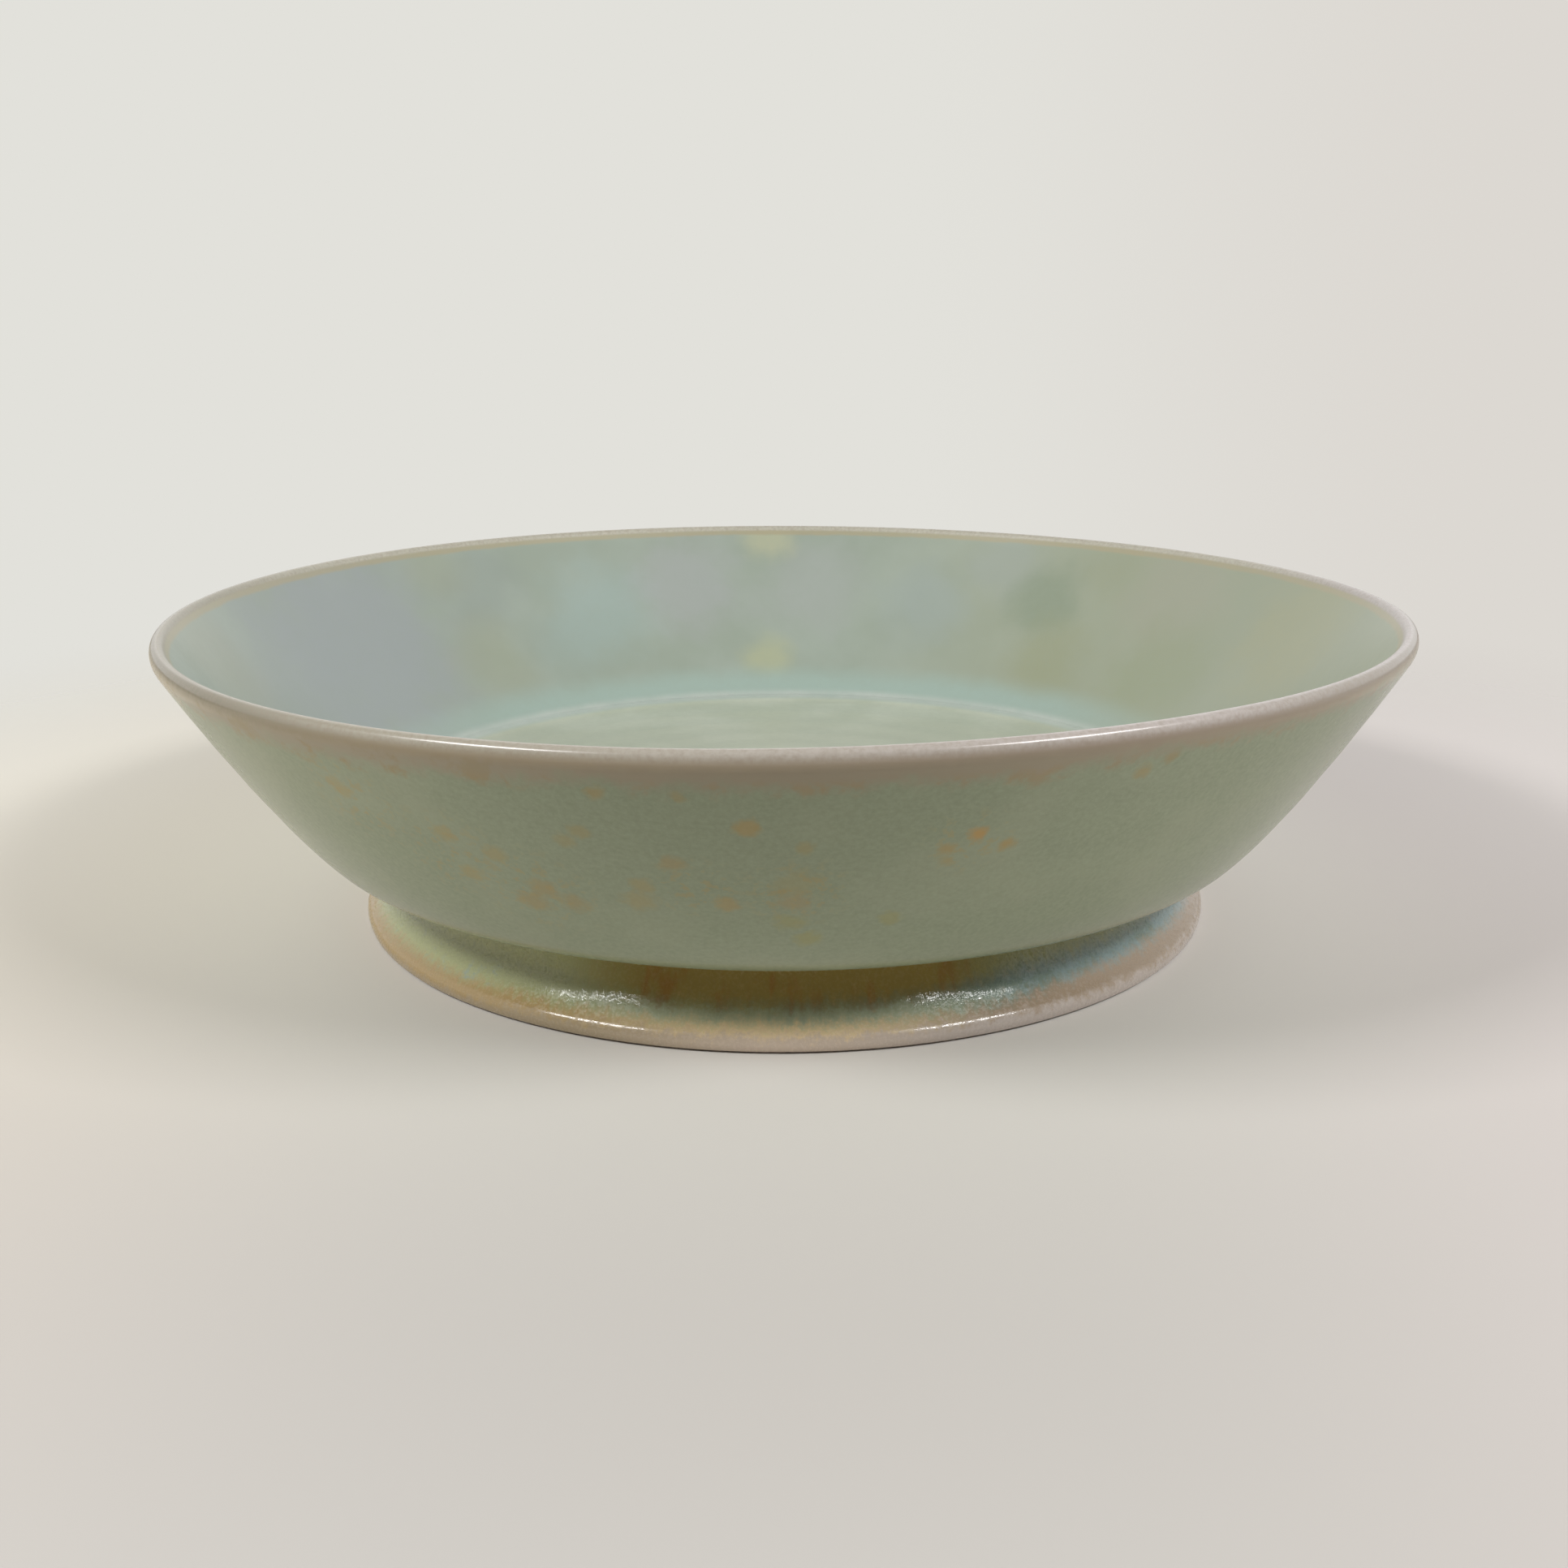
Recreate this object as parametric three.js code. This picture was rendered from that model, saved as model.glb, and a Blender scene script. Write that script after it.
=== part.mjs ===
// A shallow celadon dish on a spreading foot, in millimetres, +Z up.
// The origin is the centre of the circle on which the foot stands.
//
// The dish is made in layers: a thrown bowl, a separately thrown foot ring, the slip that lutes
// the ring under the bowl, and the fired glaze, which lies as one coat inside the bowl, one
// outside it, one on the foot's flare and one under the base. The pad of the foot stays bare.
//
// Every piece is turned, so it is drawn as an outline of (radius, height) points and spun round
// the upright axis. The glazed lines are drawn first, each with the clay on its left, and the
// clay lies one coat further in.
import * as THREE from "three";

// Whole dish
const rimDiameter = 160;
const dishHeight = 40.4;
const facets = 60; // flats round each turned piece

// Glaze
const coatThickness = 0.5;
const coatGap = 0.1; // left between a coat and what it lies on
const glazeBreak = 0.3; // bare line between two coats, at the lip and at the neck

// Bowl, over its glaze
const lipShoulder = 2; // rounding of the lip's outside
const lipCrest = 0.85; // tighter rounding over the top of the lip and down its inside
const crestStart = 20; // degrees above level at which the second takes over from the first
const heelThickness = 4.5; // wall at the keel, from where it thins evenly up to the lip
const wallBulge = 1.25; // how far the wall stands out from its chord
const bulgePlace = 5.4; // how far out from the keel the wall is fullest
const keelReach = 8.45; // from the neck of the foot out to the keel
const keelRise = 1.5; // from the bowl's underside up to the keel
const keelEase = 2.5; // length that the rounding of the keel takes from each side
const floorThickness = 3.7;
const wellStep = 0.7; // how far the floor is sunk inside its ring
const ringWidth = 0.8; // flat top of that ring
const coveRise = 2.6; // height at which the wall starts to turn in to the ring
const coveRun = 0.5; // how far the turn runs out along the top of the ring

// Foot, over its glaze
const footDiameter = 113.9;
const footHeight = 9.5; // from the table to the bowl's underside
const flareReach = 4.55; // from the neck out to the foot's edge
const flareLength = 3.2; // straight that the flare sets out along, before it turns up to the neck
const flareFace = 50; // degrees above level that the flare faces where it leaves the edge
const neckFillet = 1.5; // between the neck and the bowl's underside
const edgeRadius = 1.6;
const edgeStop = 20; // degrees below level at which the glaze stops on the edge
const padWidth = 1.8; // bare flat that touches the table
const padEase = 1.6; // bare slope from the pad to the glaze inside the foot
const footThickness = 3.4; // clay at the neck
const baseFillet = 1.2; // between the inside of the foot and the base

// Luting slip
const slipThickness = 0.6;
const slipBead = 0.9; // how far it spreads past the outside of the neck

const point = (radius, height) => new THREE.Vector2(radius, height);
const degrees = THREE.MathUtils.radToDeg;
const radians = THREE.MathUtils.degToRad;

// Points of an arc round a centre, from one angle to another, in degrees from level.
function arc(centre, radius, from, to, steps) {
  return Array.from({ length: steps + 1 }, (_, i) => {
    const angle = radians(from + ((to - from) * i) / steps);
    return point(centre.x + radius * Math.cos(angle), centre.y + radius * Math.sin(angle));
  });
}

// Points of a curve that leaves its start towards the corner and reaches its end from there.
function bend(start, corner, end, steps) {
  return new THREE.QuadraticBezierCurve(start, corner, end).getPoints(steps);
}

// The point at a distance from one point towards another.
function towards(from, to, distance) {
  return to.clone().sub(from).setLength(distance).add(from);
}

// The line moved to its left by a distance, with its corners mitred. It may run on from a point
// before it or to a point after it, and otherwise its ends are cut square.
function inset(line, distance, before = null, after = null) {
  const first = before ?? line[0].clone().multiplyScalar(2).sub(line[1]);
  const last = after ?? line.at(-1).clone().multiplyScalar(2).sub(line.at(-2));
  const path = [first, ...line, last];
  return line.map((here, i) => {
    const ahead = path[i + 2].clone().sub(here).normalize();
    const along = here.clone().sub(path[i]).normalize().add(ahead).normalize();
    const mitre = distance / along.dot(ahead);
    return point(here.x - along.y * mitre, here.y + along.x * mitre);
  });
}

// Spins an outline, which runs round its solid with the solid on its left.
function turned(name, outline, material) {
  const open = outline[0].x === 0 && outline.at(-1).x === 0;
  const closed = open ? outline : [...outline, outline[0]];
  const geometry = new THREE.LatheGeometry(closed, facets).rotateX(Math.PI / 2);
  const mesh = new THREE.Mesh(geometry, material);
  mesh.name = name;
  return mesh;
}

// A coat of glaze between its glazed line and the same line one thickness further in. Where
// another coat comes before or after it, the point at which that one ends or starts is given.
function coat(name, line, material, before = null, after = null) {
  const back = inset(line, coatThickness, before, after).reverse();
  return turned(name, [...line, ...back], material);
}

function fired(color, roughness) {
  return new THREE.MeshStandardMaterial({ color, roughness, metalness: 0 });
}

// Sizes that the pieces share
const coatDepth = coatThickness + coatGap; // from a glazed line to the clay
const lipStep = arc(point(0, 0), lipShoulder - lipCrest, crestStart, crestStart, 1)[0];
const crestHeight = dishHeight - lipCrest;
const shoulderCentre = point(rimDiameter / 2 - lipShoulder, crestHeight - lipStep.y);
const crestCentre = shoulderCentre.clone().add(lipStep);
const neckRadius = footDiameter / 2 - flareReach;
const neckTop = point(neckRadius + neckFillet, footHeight);
const keel = point(neckRadius + keelReach, footHeight + keelRise);

// Glazed line outside the bowl, from the neck over the keel and up the wall to the top of the lip
const chord = shoulderCentre.clone().sub(keel);
const bulge = point(chord.y, -chord.x).setLength(2 * wallBulge);
const fullest = towards(keel, shoulderCentre, (bulgePlace * chord.length()) / chord.x).add(bulge);
const wallRun = shoulderCentre.clone().sub(fullest);
const lipStart = degrees(wallRun.angle() - Math.asin(lipShoulder / wallRun.length())) - 90;
const lipOutside = [
  ...arc(shoulderCentre, lipShoulder, lipStart, crestStart, 3),
  ...arc(crestCentre, lipCrest, crestStart, 90, 2).slice(1),
];
const keelOver = towards(keel, fullest, keelEase);
const wall = new THREE.QuadraticBezierCurve(keelOver, fullest, lipOutside[0]);
const wallSteps = 5;
const outsideLine = [
  towards(neckTop, keel, glazeBreak),
  ...bend(towards(keel, neckTop, keelEase), keel, keelOver, 2).slice(0, -1),
  ...wall.getPoints(wallSteps).slice(0, -1),
  ...lipOutside,
];

// Across the lip, square to the wall
const lipSlant = radians(crestStart - lipStart);
const lipThickness = lipShoulder + lipCrest - (lipShoulder - lipCrest) * Math.cos(lipSlant);

// The inside of the wall, opposite a place on its outside that runs from 0 at the keel to 1.
function wallInside(place) {
  const along = wall.getTangent(place);
  const thickness = THREE.MathUtils.lerp(heelThickness, lipThickness, place);
  return wall.getPoint(place).add(point(-along.y, along.x).setLength(thickness));
}

// The place at which the inside of the wall has reached a height.
function placeAt(height) {
  let low = 0;
  let high = 1;
  for (let halving = 0; halving < 30; halving++) {
    const middle = (low + high) / 2;
    if (wallInside(middle).y < height) low = middle;
    else high = middle;
  }
  return low;
}

// Glazed line inside the bowl, from the lip down the wall, over the ring and to the floor's centre
const floorHeight = footHeight + floorThickness;
const ringHeight = floorHeight + wellStep;
const coveAt = placeAt(ringHeight + coveRise);
const coveTop = wallInside(coveAt);
const coveAhead = coveTop.clone().sub(wallInside(coveAt + (1 - coveAt) / wallSteps));
const coveCorner = coveTop.clone().addScaledVector(coveAhead, -coveRise / coveAhead.y);
const coveEnd = point(coveCorner.x - coveRun, ringHeight);
const crest = point(coveEnd.x - ringWidth, ringHeight);
const insideWall = Array.from({ length: wallSteps }, (_, i) =>
  wallInside(THREE.MathUtils.lerp(1, coveAt, i / wallSteps)),
);
const lipBreak = degrees(glazeBreak / lipCrest);
const insideLine = [
  ...arc(crestCentre, lipCrest, 90 + lipBreak, lipStart + 180, 2),
  ...insideWall,
  ...bend(coveTop, coveCorner, coveEnd, 3),
  crest,
  point(crest.x - wellStep, floorHeight),
  point(0, floorHeight),
];

// Glazed line of the foot, from the glaze's lower edge up the flare and round into the bowl
const edgeCentre = point(footDiameter / 2 - edgeRadius, edgeRadius - coatDepth);
const edge = arc(edgeCentre, edgeRadius, -edgeStop, flareFace, 3);
const flareStart = edge.at(-1);
const flareAngle = radians(flareFace);
const flareAhead = point(-Math.sin(flareAngle), Math.cos(flareAngle));
const flareTurn = flareStart.clone().addScaledVector(flareAhead, flareLength);
const neckFoot = point(neckRadius, footHeight - neckFillet);
const flareLine = [
  ...edge.slice(0, -1),
  ...bend(flareStart, flareTurn, neckFoot, 4),
  ...bend(neckFoot, point(neckRadius, footHeight), neckTop, 2).slice(1),
];

// Glazed line under the bowl, from the base's centre out and down the inside of the foot
const innerRadius = neckRadius - footThickness - 2 * coatDepth;
const innerTurn = point(flareTurn.x - neckRadius + innerRadius, flareTurn.y);
const padInner = edgeCentre.x - padWidth;
const innerStop = point(padInner - padEase - coatDepth, padEase);
const innerFoot = point(innerRadius, footHeight - baseFillet);
const baseCorner = point(innerRadius, footHeight);
const baseLine = [
  point(0, footHeight),
  ...bend(point(innerRadius - baseFillet, footHeight), baseCorner, innerFoot, 2),
  ...bend(innerFoot, innerTurn, innerStop, 3).slice(1),
];

// Clay of the foot ring, from the inner edge of the pad round the flare to the joint and back down
const slipTop = footHeight + coatDepth;
const jointHeight = slipTop - slipThickness;
const clayFlare = inset(flareLine, coatDepth).filter((p) => p.y < jointHeight);
const clayInner = inset(baseLine, coatDepth).filter((p) => p.y < jointHeight);
const clayNeck = neckRadius - coatDepth;
const footInside = innerRadius + coatDepth;
const footOutline = [
  point(padInner, 0),
  ...arc(edgeCentre, edgeRadius - coatDepth, -90, -edgeStop, 2).slice(0, -1),
  ...clayFlare,
  point(clayNeck, jointHeight),
  point(footInside, jointHeight),
  ...clayInner,
];

// Slip in the joint, spread outwards under the bowl
const slipOutline = [
  point(footInside, jointHeight),
  point(clayNeck, jointHeight),
  point(clayNeck + slipBead, slipTop),
  point(footInside, slipTop),
];

// Clay of the bowl, flat underneath where the slip holds it
const bowlOutline = [
  point(0, slipTop),
  point(clayNeck + slipBead, slipTop),
  ...inset([...outsideLine, ...insideLine], coatDepth, neckTop),
];

const clay = fired("#b9ab98", 0.85);
const slip = fired("#c6b9a6", 0.9);
const wallGlaze = fired("#949c80", 0.3);
const poolGlaze = fired("#9fac9c", 0.22);
const footGlaze = fired("#8b9c8b", 0.25);

const dish = new THREE.Group();
dish.add(turned("bowl_body", bowlOutline, clay));
dish.add(turned("foot_ring", footOutline, clay));
dish.add(turned("luting_slip", slipOutline, slip));
dish.add(coat("exterior_glaze", outsideLine, wallGlaze, neckTop, insideLine[0]));
dish.add(coat("interior_glaze", insideLine, poolGlaze, outsideLine.at(-1)));
dish.add(coat("foot_glaze", flareLine, footGlaze, null, outsideLine[0]));
dish.add(coat("base_glaze", baseLine, footGlaze));

export default dish;
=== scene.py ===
import bpy
import numpy as np
from mathutils import Euler, Matrix, Vector


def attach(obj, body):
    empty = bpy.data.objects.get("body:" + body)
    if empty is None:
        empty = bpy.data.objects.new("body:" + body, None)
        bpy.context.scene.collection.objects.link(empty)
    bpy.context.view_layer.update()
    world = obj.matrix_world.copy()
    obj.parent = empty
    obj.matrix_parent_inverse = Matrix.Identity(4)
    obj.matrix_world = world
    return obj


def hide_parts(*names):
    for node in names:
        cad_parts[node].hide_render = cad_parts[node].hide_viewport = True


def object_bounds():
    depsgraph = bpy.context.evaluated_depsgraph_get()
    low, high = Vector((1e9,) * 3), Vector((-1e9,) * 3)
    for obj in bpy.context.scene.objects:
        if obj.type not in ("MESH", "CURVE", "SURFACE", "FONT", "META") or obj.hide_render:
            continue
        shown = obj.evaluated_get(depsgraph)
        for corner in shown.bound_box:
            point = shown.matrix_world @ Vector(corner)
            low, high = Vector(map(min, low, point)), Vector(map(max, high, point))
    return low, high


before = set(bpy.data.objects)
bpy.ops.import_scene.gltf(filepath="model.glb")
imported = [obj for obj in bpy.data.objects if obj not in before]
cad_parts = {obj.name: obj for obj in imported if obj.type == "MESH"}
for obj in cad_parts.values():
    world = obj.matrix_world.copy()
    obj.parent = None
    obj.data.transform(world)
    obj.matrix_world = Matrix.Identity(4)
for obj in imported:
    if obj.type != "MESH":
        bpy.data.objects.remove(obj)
cadLow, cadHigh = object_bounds()
mm = 0.001
print("frame loaded:", ", ".join(sorted(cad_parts)))


# Outlines. Every piece is thrown or coated on the wheel, so each one is an outline spun round the
# upright axis. An outline is an array of complex numbers in millimetres: the real part is the
# distance from the axis and the imaginary part is the height. It runs with its piece on the left.

bowl = {
    "rimRadius": cadHigh.x / mm,
    "height": cadHigh.z / mm,
    "lipShoulder": 2.0,  # rounding of the lip's outside
    "lipCrest": 0.85,  # tighter rounding over its top and down its inside
    "crestStart": 20.0,  # degrees above level at which the second takes over
    "heelThickness": 4.5,  # wall at the keel, from where it thins evenly up to the lip
    "wallBulge": 1.25,  # how far the wall stands out from its chord
    "bulgePlace": 5.4,  # how far out from the keel the wall is fullest
    "keelReach": 8.45,  # from the neck of the foot out to the keel
    "keelRise": 1.5,
    "keelEase": 2.5,  # what the rounding of the keel takes from each side
    "floorThickness": 3.7,
    "wellStep": 0.7,  # how far the floor is sunk inside its ring
    "stepRun": 2.6,  # how far the step to the floor runs, in heights of the step
    "ringWidth": 0.8,
    "coveRise": 2.6,  # height above the ring at which the wall turns in to it
    "coveRun": 0.5,
}

foot = {
    "radius": 56.95,
    "height": 9.5,
    "flareReach": 4.55,  # from the neck out to the foot's edge
    "flareLength": 3.2,
    "flareFace": 50,  # degrees above level that the flare faces at the edge
    "neckFillet": 1.5,
    "edgeRadius": 1.6,
    "edgeStop": 20,  # degrees below level at which the glaze stops
    "padWidth": 1.8,  # bare clay that touches the table
    "padEase": 1.6,
    "thickness": 3.4,
    "baseFillet": 1.2,
}

layers = {
    "coat": 0.5,
    "gap": 0.1,  # between a coat and the clay that it lies on
    "slip": 0.6,
    "slipBead": 0.9,
    "sides": 320,  # flats round every piece
    "fine": 8,  # steps on a glazed line for each one on its hidden back
    "sharpAngle": 38,  # degrees of bend past which shading breaks
}


# Arc: the centre plus the radius times e^(i angle), the angle going evenly in degrees
def arcLine(centre, radius, start, end, steps):
    return centre + radius * np.exp(1j * np.radians(np.linspace(start, end, steps + 1)))


# Bend: start (1-t)^2 + corner 2t(1-t) + end t^2, with t going evenly from 0 to 1
def bendLine(start, corner, end, steps):
    t = np.linspace(0, 1, steps + 1)
    return start * (1 - t) ** 2 + 2 * corner * t * (1 - t) + end * t ** 2


# Roll: half a turn of the circle on two points, clockwise past the end of the line
def rollLine(start, end):
    middle = (start + end) / 2
    turns = np.exp(1j * np.linspace(0, np.pi, 9)[1:-1])
    return middle + (start - middle) * turns


# Heading: each step over its own length
def heading(step):
    return step / np.abs(step)


# Each point moved to its left, square to the mean of its two sides, by the distance over the
# cosine of half the corner. The line may run on from a point before it or to one after it.
def insetLine(line, distance, before=None, after=None):
    first = 2 * line[0] - line[1] if before is None else before
    last = 2 * line[-1] - line[-2] if after is None else after
    sides = heading(np.diff(np.concatenate([[first], line, [last]])))
    along = heading(sides[:-1] + sides[1:])
    return line + 1j * along * distance / np.real(along * np.conj(sides[1:]))


coatDepth = layers["coat"] + layers["gap"]  # from a glazed line to the clay
lipStep = (bowl["lipShoulder"] - bowl["lipCrest"]) * np.exp(1j * np.radians(bowl["crestStart"]))
crestHeight = bowl["height"] - bowl["lipCrest"]
shoulderCentre = bowl["rimRadius"] - bowl["lipShoulder"] + 1j * (crestHeight - lipStep.imag)
crestCentre = shoulderCentre + lipStep
neckRadius = foot["radius"] - foot["flareReach"]
neckTop = neckRadius + foot["neckFillet"] + 1j * foot["height"]
keel = neckRadius + bowl["keelReach"] + 1j * (foot["height"] + bowl["keelRise"])
chord = shoulderCentre - keel
fullest = keel + chord * bowl["bulgePlace"] / chord.real - 2j * bowl["wallBulge"] * heading(chord)
lipRun = shoulderCentre - fullest
lipStart = np.degrees(np.angle(lipRun) - np.arcsin(bowl["lipShoulder"] / abs(lipRun))) - 90
lipSlant = np.radians(bowl["crestStart"] - lipStart)
lipThickness = bowl["lipShoulder"] + bowl["lipCrest"] - abs(lipStep) * np.cos(lipSlant)
keelOver = keel + bowl["keelEase"] * heading(fullest - keel)
keelUnder = keel + bowl["keelEase"] * heading(neckTop - keel)
wallTop = shoulderCentre + bowl["lipShoulder"] * np.exp(1j * np.radians(lipStart))
floorHeight = foot["height"] + bowl["floorThickness"]
ringHeight = floorHeight + bowl["wellStep"]


# Outside of the wall: keelOver (1-t)^2 + fullest 2t(1-t) + wallTop t^2
def wallOutside(place):
    return keelOver * (1 - place) ** 2 + 2 * fullest * place * (1 - place) + wallTop * place ** 2


# Inside of the wall: its outside moved left by a thickness that goes evenly from heel to lip
def wallInside(place):
    along = (fullest - keelOver) * (1 - place) + (wallTop - fullest) * place
    thickness = bowl["heelThickness"] + (lipThickness - bowl["heelThickness"]) * place
    return wallOutside(place) + 1j * heading(along) * thickness


# From the neck of the foot over the keel and up the wall to the top of the lip
def outsideLine(fine):
    return np.concatenate([
        np.linspace(neckTop, keelUnder, 2 * fine + 1)[:-1],
        bendLine(keelUnder, keel, keelOver, 2 * fine)[:-1],
        wallOutside(np.linspace(0, 1, 5 * fine + 1))[:-1],
        arcLine(shoulderCentre, bowl["lipShoulder"], lipStart, bowl["crestStart"], 3 * fine)[:-1],
        arcLine(crestCentre, bowl["lipCrest"], bowl["crestStart"], 90, 2 * fine),
    ])


# From the top of the lip down the inside, round the cove, over the ring and in to the centre
def insideLine(fine):
    places = np.linspace(0, 1, 501)
    coveAt = np.interp(ringHeight + bowl["coveRise"], wallInside(places).imag, places)
    coveTop = wallInside(coveAt)
    coveAhead = coveTop - wallInside(coveAt + 0.1)
    coveCorner = coveTop - coveAhead * bowl["coveRise"] / coveAhead.imag
    coveEnd = coveCorner - bowl["coveRun"]
    crest = coveEnd - bowl["ringWidth"]
    stepFoot = crest - bowl["wellStep"] * (bowl["stepRun"] + 1j)
    stepMiddle = (crest + stepFoot) / 2
    floorEdge = stepFoot - 2 * bowl["ringWidth"]
    return np.concatenate([
        arcLine(crestCentre, bowl["lipCrest"], 90, lipStart + 180, 2 * fine),
        wallInside(np.linspace(1, coveAt, 5 * fine + 1))[:-1],
        bendLine(coveTop, coveCorner, coveEnd, 3 * fine)[:-1],
        bendLine(coveEnd, crest, stepMiddle, fine)[:-1],
        bendLine(stepMiddle, stepFoot, floorEdge, fine)[:-1],
        np.linspace(floorEdge, 1j * floorHeight, 10 * fine + 1),
    ])


edgeCentre = foot["radius"] - foot["edgeRadius"] + 1j * (foot["edgeRadius"] - coatDepth)
flareStart = edgeCentre + foot["edgeRadius"] * np.exp(1j * np.radians(foot["flareFace"]))
flareTurn = flareStart + 1j * foot["flareLength"] * np.exp(1j * np.radians(foot["flareFace"]))
neckFoot = neckRadius + 1j * (foot["height"] - foot["neckFillet"])
insideRadius = neckRadius - foot["thickness"] - 2 * coatDepth
padInner = edgeCentre.real - foot["padWidth"]


# From the lower edge of the foot's glaze up the flare and round the neck into the bowl
def flareLine(fine):
    corner = neckRadius + 1j * foot["height"]
    return np.concatenate([
        arcLine(edgeCentre, foot["edgeRadius"], -foot["edgeStop"], foot["flareFace"], 3 * fine)[:-1],
        bendLine(flareStart, flareTurn, neckFoot, 4 * fine)[:-1],
        bendLine(neckFoot, corner, neckTop, 2 * fine),
    ])


# From the centre of the base out and down the inside of the foot
def baseLine(fine):
    corner = insideRadius + 1j * foot["height"]
    baseEnd = corner - foot["baseFillet"]
    wallStart = corner - 1j * foot["baseFillet"]
    innerTurn = flareTurn - neckRadius + insideRadius
    innerStop = padInner - foot["padEase"] - coatDepth + 1j * foot["padEase"]
    return np.concatenate([
        np.linspace(1j * foot["height"], baseEnd, 8 * fine + 1)[:-1],
        bendLine(baseEnd, corner, wallStart, 2 * fine)[:-1],
        bendLine(wallStart, innerTurn, innerStop, 3 * fine),
    ])


# A coat of glaze: its glazed line, its hidden back one coat further in, and an edge rolled round
# at the start or the end, where it doesn't meet another coat
def coatLine(front, back, before=None, after=None, rolled=""):
    hidden = insetLine(back, layers["coat"], before, after)[::-1]
    endRoll = rollLine(front[-1], hidden[0]) if rolled == "end" else []
    startRoll = rollLine(hidden[-1], front[0]) if rolled == "start" else []
    return np.concatenate([front, endRoll, hidden, startRoll])


# The throwing hand: a slow warp of the rim, which stands highest at the near right and next at the
# far left, rings that spiral in over the floor, and faint waves up the wall. In millimetres.
hand = {
    "rimDrawnIn": 0.06,
    "rimLowered": 0.5,
    "lifts": (0.4, 0.76, 0.1),  # how far one, two and three rises round the rim hold it up
    "warpFoot": 11.0,  # height from where the wall starts to warp
    "ringPitch": 7.5,
    "ringHeight": 0.05,
    "ringEdge": 54.0,  # radius at which the rings have faded out
    "ringFade": (8.0, 6.0),  # how far they take to fade at the centre and at the edge
    "floorSlack": 0.05,  # how near the floor's height a point lies on it
    "wallPitch": 6.0,
    "wallWave": 0.02,
    "waveFoot": 14.0,
    "waveTop": 36.0,
    "waveFade": 6.0,
}


# Waver: both moves grow as share^2 (3 - 2 share), share going from 0 at the warp's foot to 1 at
# the rim. The height falls by 1 less the lifts times sin(turn), sin(2 turn) and sin(3 turn), but
# never rises, turn going from the front to the right. The radius shrinks by
# 0.5 + 0.3 cos(2 angle + 0.7) + 0.2 cos(3 angle - 1.1).
def waver(radius, height, angle):
    share = np.clip((height - hand["warpFoot"]) / (bowl["height"] - hand["warpFoot"]), 0, 1)
    grown = share * share * (3 - 2 * share)
    turn = angle + np.pi / 2
    once, twice, thrice = hand["lifts"]
    lifted = once * np.sin(turn) + twice * np.sin(2 * turn) + thrice * np.sin(3 * turn)
    lowered = hand["rimLowered"] * np.clip(1 - lifted, 0, None)
    drawn = 0.5 + 0.3 * np.cos(2 * angle + 0.7) + 0.2 * np.cos(3 * angle - 1.1)
    return radius - hand["rimDrawnIn"] * grown * drawn, height - lowered * grown


# Rings on the floor: the height gains the cosine of the radius over the pitch less the angle,
# fading out at the centre and at the edge
def ringed(radius, height, angle):
    inner, outer = hand["ringFade"]
    fade = np.clip(radius / inner, 0, 1) * np.clip((hand["ringEdge"] - radius) / outer, 0, 1)
    lift = hand["ringHeight"] * fade * np.cos(2 * np.pi * radius / hand["ringPitch"] - angle)
    return radius, height + lift * (np.abs(height - floorHeight) < hand["floorSlack"])


# Waves up the wall: the radius loses 1 plus the cosine of the height over the pitch plus the
# angle, fading out towards the keel and the lip
def waved(radius, height, angle):
    low = np.clip((height - hand["waveFoot"]) / hand["waveFade"], 0, 1)
    high = np.clip((hand["waveTop"] - height) / hand["waveFade"], 0, 1)
    wave = 1 + np.cos(2 * np.pi * height / hand["wallPitch"] + angle)
    return radius - hand["wallWave"] * low * high * wave, height


# Spins an outline: after its marks and the waver, each of its points stands at (radius cos,
# radius sin, height) for every angle. Where it starts and ends on the axis it closes there with a
# fan, and otherwise its last point joins its first.
def turned(name, outline, marks=None):
    sides = layers["sides"]
    onAxis = abs(outline[0].real) < 1e-9
    ring = outline[1:-1] if onAxis else outline
    angle = np.arange(sides) * 2 * np.pi / sides
    radius, turn = np.meshgrid(ring.real, angle, indexing="ij")
    height = np.repeat(ring.imag[:, None], sides, axis=1)
    if marks:
        radius, height = marks(radius, height, turn)
    radius, height = waver(radius, height, turn)
    points = np.stack([radius * np.cos(turn), radius * np.sin(turn), height], axis=-1)
    points = points.reshape(-1, 3)
    rows = np.arange(len(ring) - 1 if onAxis else len(ring))[:, None]
    here = rows * sides
    ahead = (rows + 1) % len(ring) * sides
    side = np.arange(sides)
    beside = (side + 1) % sides
    faces = np.stack([here + side, here + beside, ahead + beside, ahead + side], axis=-1)
    faces = faces.reshape(-1, 4).tolist()
    if onAxis:
        pole = np.full(sides, len(points))
        lastRow = (len(ring) - 1) * sides
        points = np.concatenate([points, [[0, 0, outline[0].imag], [0, 0, outline[-1].imag]]])
        faces += np.stack([pole, beside, side], axis=-1).tolist()
        faces += np.stack([lastRow + side, lastRow + beside, pole + 1], axis=-1).tolist()
    mesh = bpy.data.meshes.new(name)
    mesh.from_pydata(points * mm, [], faces)
    mesh.shade_smooth()
    mesh.set_sharp_from_angle(angle=np.radians(layers["sharpAngle"]))
    piece = bpy.data.objects.new(name, mesh)
    bpy.context.scene.collection.objects.link(piece)
    return piece


print("outlines drawn")


# Shading. A wire is one socket, and sums on wires add Math nodes to its board.

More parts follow.
